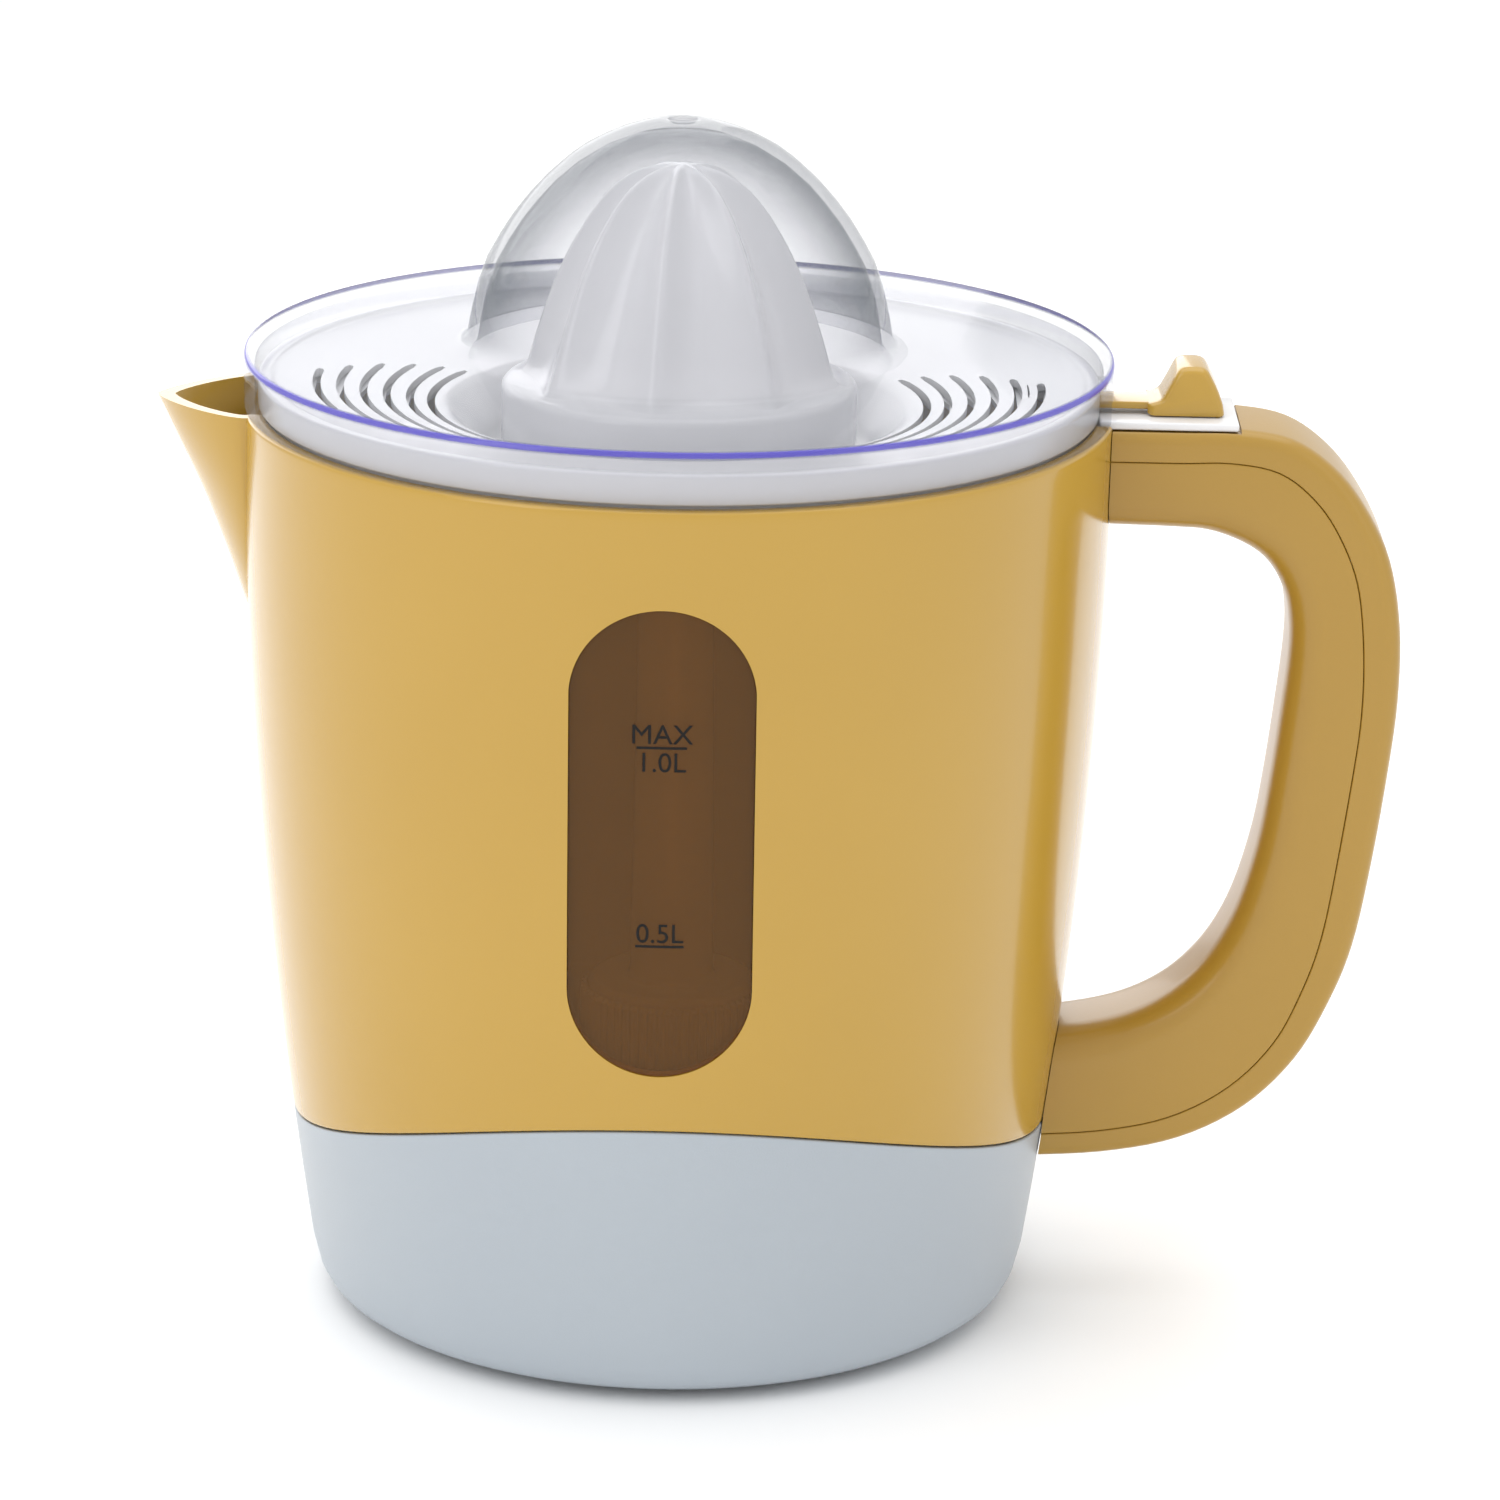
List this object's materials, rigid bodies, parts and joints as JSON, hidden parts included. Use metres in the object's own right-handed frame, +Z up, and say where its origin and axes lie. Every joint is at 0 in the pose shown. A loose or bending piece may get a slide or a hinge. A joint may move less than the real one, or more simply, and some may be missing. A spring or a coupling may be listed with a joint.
{
  "type": "citrus press juicer",
  "caption": "Electric citrus juicer: a spouted jug with sight window and handle on a motor base, with strainer, ribbed reamer, pulp slider and clear domed dust cover.",
  "frame": {"origin": "centre of the footprint on the table under the whole juicer, handle and spout included; the reaming axis is 17.7 mm towards the spout from it", "axes": "+X towards the handle, -X towards the spout, -Y towards the sight window at the front, +Z up"},
  "size_m": [0.216, 0.15, 0.21],
  "materials": {
    "base_plastic": "satin pale blue-grey moulding",
    "foot_rubber": "soft black",
    "inlet_rubber": "moulded black",
    "screw_steel": "zinc plated",
    "plate_steel": "galvanised sheet",
    "motor_steel": "drawn can",
    "shaft_steel": "ground",
    "spring_steel": "spring wire and strip",
    "gear_acetal": "natural acetal",
    "bush_brass": "sintered bronze colour",
    "switch_plastic": "black",
    "jug_plastic": "glossy warm yellow",
    "smoke_window": "smoke-tinted clear plastic",
    "white_plastic": "glossy white",
    "clear_cover": "clear plastic, faintly blue edges"
  },
  "bodies": {
    "base": {"base_housing": "base_plastic", "deck": "base_plastic", "bottom_plate": "base_plastic", "foot_1": "foot_rubber", "foot_2": "foot_rubber", "foot_3": "foot_rubber", "foot_4": "foot_rubber", "bottom_screw_1": "screw_steel", "bottom_screw_2": "screw_steel", "bottom_screw_3": "screw_steel", "gearbox_plate": "plate_steel", "gearbox_screw_1": "screw_steel", "gearbox_screw_2": "screw_steel", "gearbox_screw_3": "screw_steel", "motor_can": "motor_steel", "motor_screw_1": "screw_steel", "motor_screw_2": "screw_steel", "layshaft_axle": "shaft_steel", "output_bush": "bush_brass", "return_spring": "spring_steel", "switch_body": "switch_plastic", "cord_inlet": "inlet_rubber"},
    "motor_rotor": {"motor_pinion": "shaft_steel"},
    "layshaft": {"layshaft_gear": "gear_acetal"},
    "output": {"output_gear": "gear_acetal"},
    "plunger": {"drive_coupling": "gear_acetal"},
    "lever": {"switch_lever": "spring_steel"},
    "jug": {"jug_shell": "jug_plastic", "drive_tower": "white_plastic", "window_pane": "smoke_window", "handle_grip": "jug_plastic", "handle_strap": "jug_plastic", "hub_retainer": "gear_acetal", "lower_bush": "bush_brass", "upper_bush": "bush_brass", "shaft_seal": "foot_rubber"},
    "hub": {"spindle_hub": "gear_acetal"},
    "shaft": {"drive_shaft": "shaft_steel"},
    "reamer_cone": {"reamer": "white_plastic"},
    "strainer_basket": {"strainer": "white_plastic"},
    "pulp_control": {"pulp_shutter": "white_plastic", "pulp_slider": "jug_plastic"},
    "cover": {"dust_cover": "clear_cover"}
  },
  "joints": [
    {"name": "output_spin", "type": "hinge", "parent": "base", "child": "output", "pos_m": [-0.0177, 0, 0.027], "axis": [0, 0, 1], "continuous": true},
    {"name": "layshaft_spin", "type": "hinge", "parent": "base", "child": "layshaft", "pos_m": [0.00351, 0.02121, 0.026], "axis": [0, 0, 1], "continuous": true},
    {"name": "motor_spin", "type": "hinge", "parent": "base", "child": "motor_rotor", "pos_m": [0.01228, -0.00115, 0.022], "axis": [0, 0, 1], "continuous": true},
    {"name": "plunger_press", "type": "slide", "parent": "output", "child": "plunger", "axis": [0, 0, 1], "range_m": [-0.0025, 0], "stiffness_N_per_m": 1500, "springref_m": 0.002, "deforming": ["return_spring"]},
    {"name": "lever_tilt", "type": "hinge", "parent": "base", "child": "lever", "pos_m": [-0.0357, 0, 0.0122], "axis": [0, 1, 0], "range_deg": [0, 17]},
    {"name": "jug_lift", "type": "slide", "parent": "base", "child": "jug", "axis": [0, 0, 1], "range_m": [0, 0.12]},
    {"name": "hub_spin", "type": "hinge", "parent": "jug", "child": "hub", "pos_m": [-0.0177, 0, 0.046], "axis": [0, 0, 1], "continuous": true},
    {"name": "shaft_press", "type": "slide", "parent": "hub", "child": "shaft", "axis": [0, 0, 1], "range_m": [-0.003, 0.0001]},
    {"name": "reamer_lift", "type": "slide", "parent": "shaft", "child": "reamer_cone", "axis": [0, 0, 1], "range_m": [0, 0.05]},
    {"name": "strainer_lift", "type": "slide", "parent": "jug", "child": "strainer_basket", "axis": [0, 0, 1], "range_m": [0, 0.026]},
    {"name": "pulp_slide", "type": "slide", "parent": "strainer_basket", "child": "pulp_control", "axis": [1, 0, 0], "range_m": [0, 0.002]},
    {"name": "cover_lift", "type": "slide", "parent": "jug", "child": "cover", "axis": [0, 0, 1], "range_m": [0, 0.12]}
  ],
  "couplings": [
    {"joint": "layshaft_spin", "follows": "output_spin", "ratio": -4},
    {"joint": "motor_spin", "follows": "output_spin", "ratio": 20},
    {"joint": "hub_spin", "follows": "output_spin", "ratio": 1},
    {"joint": "lever_tilt", "follows": "plunger_press", "rad_per_m": -85.5},
    {"joint": "shaft_press", "follows": "plunger_press", "ratio": 1},
    {"joint": "reamer_lift", "follows": "cover_lift", "ratio": 0.4},
    {"joint": "strainer_lift", "follows": "cover_lift", "ratio": 0.2}
  ]
}
